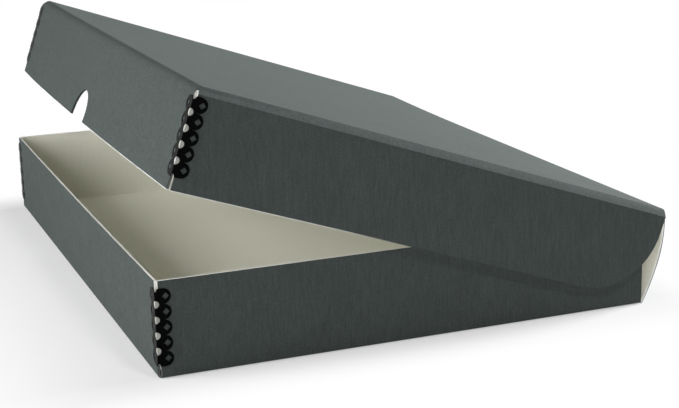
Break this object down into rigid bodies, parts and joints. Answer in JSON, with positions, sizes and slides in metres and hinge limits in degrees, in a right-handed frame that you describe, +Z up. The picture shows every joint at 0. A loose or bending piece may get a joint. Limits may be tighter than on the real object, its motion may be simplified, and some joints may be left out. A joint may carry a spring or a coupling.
{
  "type": "clamshell book box",
  "caption": "Shallow hinged folio box of grey board: a tray, a creased spine and an overlapping lid with a thumb notch, held at the front corners by metal stays.",
  "frame": {"origin": "centre of the tray's underside, on the surface that the box stands on", "axes": "+Z up, -Y the front with the thumb notch, +Y the spine, X along the spine"},
  "size_m": [0.3928, 0.3017, 0.1499],
  "materials": {
    "grey_paper": "matte fibrous paper",
    "cream_paper": "matte smooth paper",
    "core_board": "matte cut board",
    "black_metal": "gloss black enamel"
  },
  "bodies": {
    "tray": {"tray_core": "core_board", "tray_base_facing": "grey_paper", "tray_wall_facing": "grey_paper", "tray_liner": "cream_paper", "tray_stay_left": "black_metal", "tray_stay_right": "black_metal", "lower_fold_facing": "grey_paper", "lower_fold_core": "core_board", "lower_fold_liner": "cream_paper"},
    "spine": {"spine_facing": "grey_paper", "spine_core": "core_board", "spine_liner": "cream_paper"},
    "lid": {"lid_core": "core_board", "lid_top_facing": "grey_paper", "lid_wall_facing": "grey_paper", "lid_liner": "cream_paper", "lid_stay_right": "black_metal", "lid_stay_left": "black_metal", "upper_fold_facing": "grey_paper", "upper_fold_core": "core_board", "upper_fold_liner": "cream_paper"}
  },
  "joints": [
    {"name": "spine_hinge", "type": "hinge", "parent": "tray", "child": "spine", "pos_m": [0, 0.144, 0.00075], "axis": [-1, 0, 0], "range_deg": [-13, 77], "deforming": ["lower_fold_facing", "lower_fold_core", "lower_fold_liner"]},
    {"name": "lid_hinge", "type": "hinge", "parent": "spine", "child": "lid", "pos_m": [0, 0.15637, 0.05434], "axis": [-1, 0, 0], "range_deg": [-6.2, 83.8], "deforming": ["upper_fold_facing", "upper_fold_core", "upper_fold_liner"]}
  ]
}
